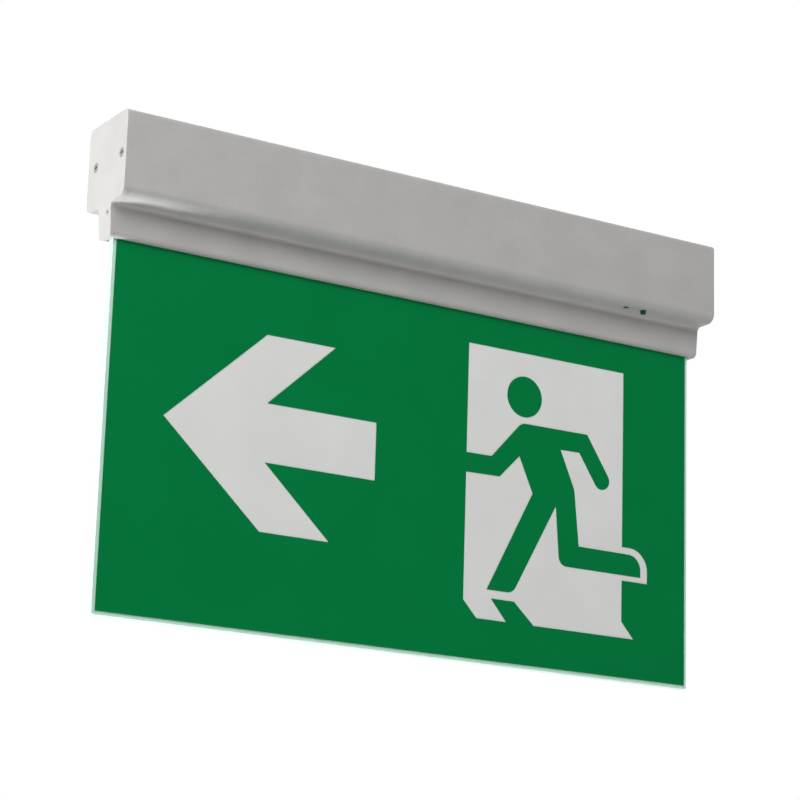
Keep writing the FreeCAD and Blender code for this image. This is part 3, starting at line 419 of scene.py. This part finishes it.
# The indicator lens has a low dome at its tip and a wider head above the floor.
lens_low, lens_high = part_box("indicator_lens")
lens_at = (lens_low + lens_high) / 2
dome = (PIN_RADIUS ** 2 + LENS_RISE ** 2) / (2 * LENS_RISE)
half_angle = math.degrees(math.asin(PIN_RADIUS / dome))
lens = lathe("moulded_indicator_lens", [
    *arc(0.0, lens_low.z + dome, dome, -90, half_angle - 90),
    (PIN_RADIUS, flange_seat), (FLANGE_RADIUS, flange_seat),
    (FLANGE_RADIUS, lens_high.z), (0.0, lens_high.z),
], lens_at.x, lens_at.y, "lens_plastic")
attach(lens, "luminaire")
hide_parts("indicator_lens")


# ---------------------------------------------------------------- camera
CAMERA_PLACE = Vector((-0.68611, -1.10166, -0.44672))
YAW, PITCH, ROLL = (math.radians(angle) for angle in (-31.6098, 14.4125, -1.77))
SENSOR_WIDTH = 36.0
FOCAL_LENGTH = 117.2127
CLIP_START = 0.01

camera_data = bpy.data.cameras.new("camera")
camera_data.sensor_width = SENSOR_WIDTH
camera_data.lens = FOCAL_LENGTH
camera_data.clip_start = CLIP_START
camera = bpy.data.objects.new("camera", camera_data)
scene.collection.objects.link(camera)
turn = Matrix.Rotation(YAW, 3, "Z") @ Matrix.Rotation(PITCH, 3, "X") @ Matrix.Rotation(ROLL, 3, "Y")
right, forward, up = turn.col[0], turn.col[1], turn.col[2]
facing = Matrix((right, up, -forward)).transposed()
camera.matrix_world = Matrix.Translation(CAMERA_PLACE) @ facing.to_4x4()
scene.camera = camera


# ---------------------------------------------------------------- lamps, world and floor
AMBIENT = 0.32
AMBIENT_TINT = (0.96, 0.98, 1.0)
FLOOR_LEVEL = -2.4
FLOOR_REACH = 9.0
# Where it is seen, this share of the floor's look is its own glow.
FLOOR_GLOW = 0.7
GLOW_STRENGTH = 0.95


def aimed(place, target):
    """A matrix at place whose -Z looks at target, the way that a lamp shines."""
    look = (Vector(target) - Vector(place)).to_track_quat("-Z", "Y")
    return Matrix.LocRotScale(Vector(place), look, None)


def lamp(name, place, target, level, side):
    """A soft square panel that gives its target about that level, where 1 shows a colour as written."""
    data = bpy.data.lights.new(name, "AREA")
    data.shape = "RECTANGLE"
    data.size = side
    data.size_y = side
    reach = (Vector(target) - Vector(place)).length
    data.energy = level * math.pi ** 2 * reach ** 2
    panel = bpy.data.objects.new(name, data)
    scene.collection.objects.link(panel)
    panel.matrix_world = aimed(place, target)
    panel.visible_camera = False


lamp("left_panel", (-1.18, 0.50, -0.95), (-0.18, 0.0, -0.05), level=1.72, side=0.45)
lamp("front_panel", (-0.66, -1.05, 0.74), (0.0, -0.02, -0.10), level=0.64, side=0.95)
lamp("low_panel", (0.35, -0.40, -1.55), (0.0, -0.01, -0.06), level=0.24, side=0.9)
lamp("back_panel", (0.7, 1.6, 0.6), (0.0, 0.0, -0.10), level=0.24, side=0.7)


def seen_or_mirrored(tree):
    """1 where the ray comes from the camera, a reflection or clear plastic, otherwise 0."""
    path = tree.nodes.new("ShaderNodeLightPath")
    seen = path.outputs["Is Camera Ray"]
    for extra in ("Is Glossy Ray", "Is Transmission Ray"):
        larger = tree.nodes.new("ShaderNodeMath")
        larger.operation = "MAXIMUM"
        tree.links.new(seen, larger.inputs[0])
        tree.links.new(path.outputs[extra], larger.inputs[1])
        seen = larger.outputs[0]
    return seen


def sky(tree, strength, tint):
    """A plain background of that strength and colour."""
    node = tree.nodes.new("ShaderNodeBackground")
    node.inputs["Color"].default_value = (*tint, 1)
    node.inputs["Strength"].default_value = strength
    return node.outputs[0]


def make_world():
    """Soft, faint light all round, which looks white to the camera and in mirrors."""
    world = bpy.data.worlds.new("studio")
    scene.world = world
    world.use_nodes = True
    tree = world.node_tree
    tree.nodes.clear()
    blend = tree.nodes.new("ShaderNodeMixShader")
    tree.links.new(seen_or_mirrored(tree), blend.inputs["Fac"])
    tree.links.new(sky(tree, AMBIENT, AMBIENT_TINT), blend.inputs[1])
    tree.links.new(sky(tree, 1.0, (1, 1, 1)), blend.inputs[2])
    out = tree.nodes.new("ShaderNodeOutputWorld")
    tree.links.new(blend.outputs[0], out.inputs["Surface"])


def pale_floor():
    """A matt pale floor that glows a little where it is seen, so that it still takes a shadow."""
    finish = Finish("pale_floor")
    finish.colour(mottled(finish, (0.90, 0.90, 0.90), spread=0.01, scale=3))
    finish.settings(Roughness=0.8)
    glow = finish.add("ShaderNodeEmission")
    glow.inputs["Strength"].default_value = GLOW_STRENGTH
    share = finish.add("ShaderNodeMath", operation="MULTIPLY")
    share.inputs[1].default_value = FLOOR_GLOW
    finish.link(seen_or_mirrored(finish.tree), share.inputs[0])
    paler = finish.add("ShaderNodeMixShader")
    finish.link(share.outputs[0], paler.inputs["Fac"])
    finish.link(finish.shader.outputs["BSDF"], paler.inputs[1])
    finish.link(glow.outputs["Emission"], paler.inputs[2])
    finish.link(paler.outputs[0], finish.out.inputs["Surface"])
    return finish.material


make_world()
floor_mesh = bpy.data.meshes.new("floor")
corners = [(across * FLOOR_REACH, deep * FLOOR_REACH, FLOOR_LEVEL)
           for across, deep in ((-1, -1), (1, -1), (1, 1), (-1, 1))]
floor_mesh.from_pydata(corners, [], [(0, 1, 2, 3)])
floor_mesh.materials.append(pale_floor())
floor = bpy.data.objects.new("floor", floor_mesh)
scene.collection.objects.link(floor)
scene.view_settings.view_transform = "Standard"
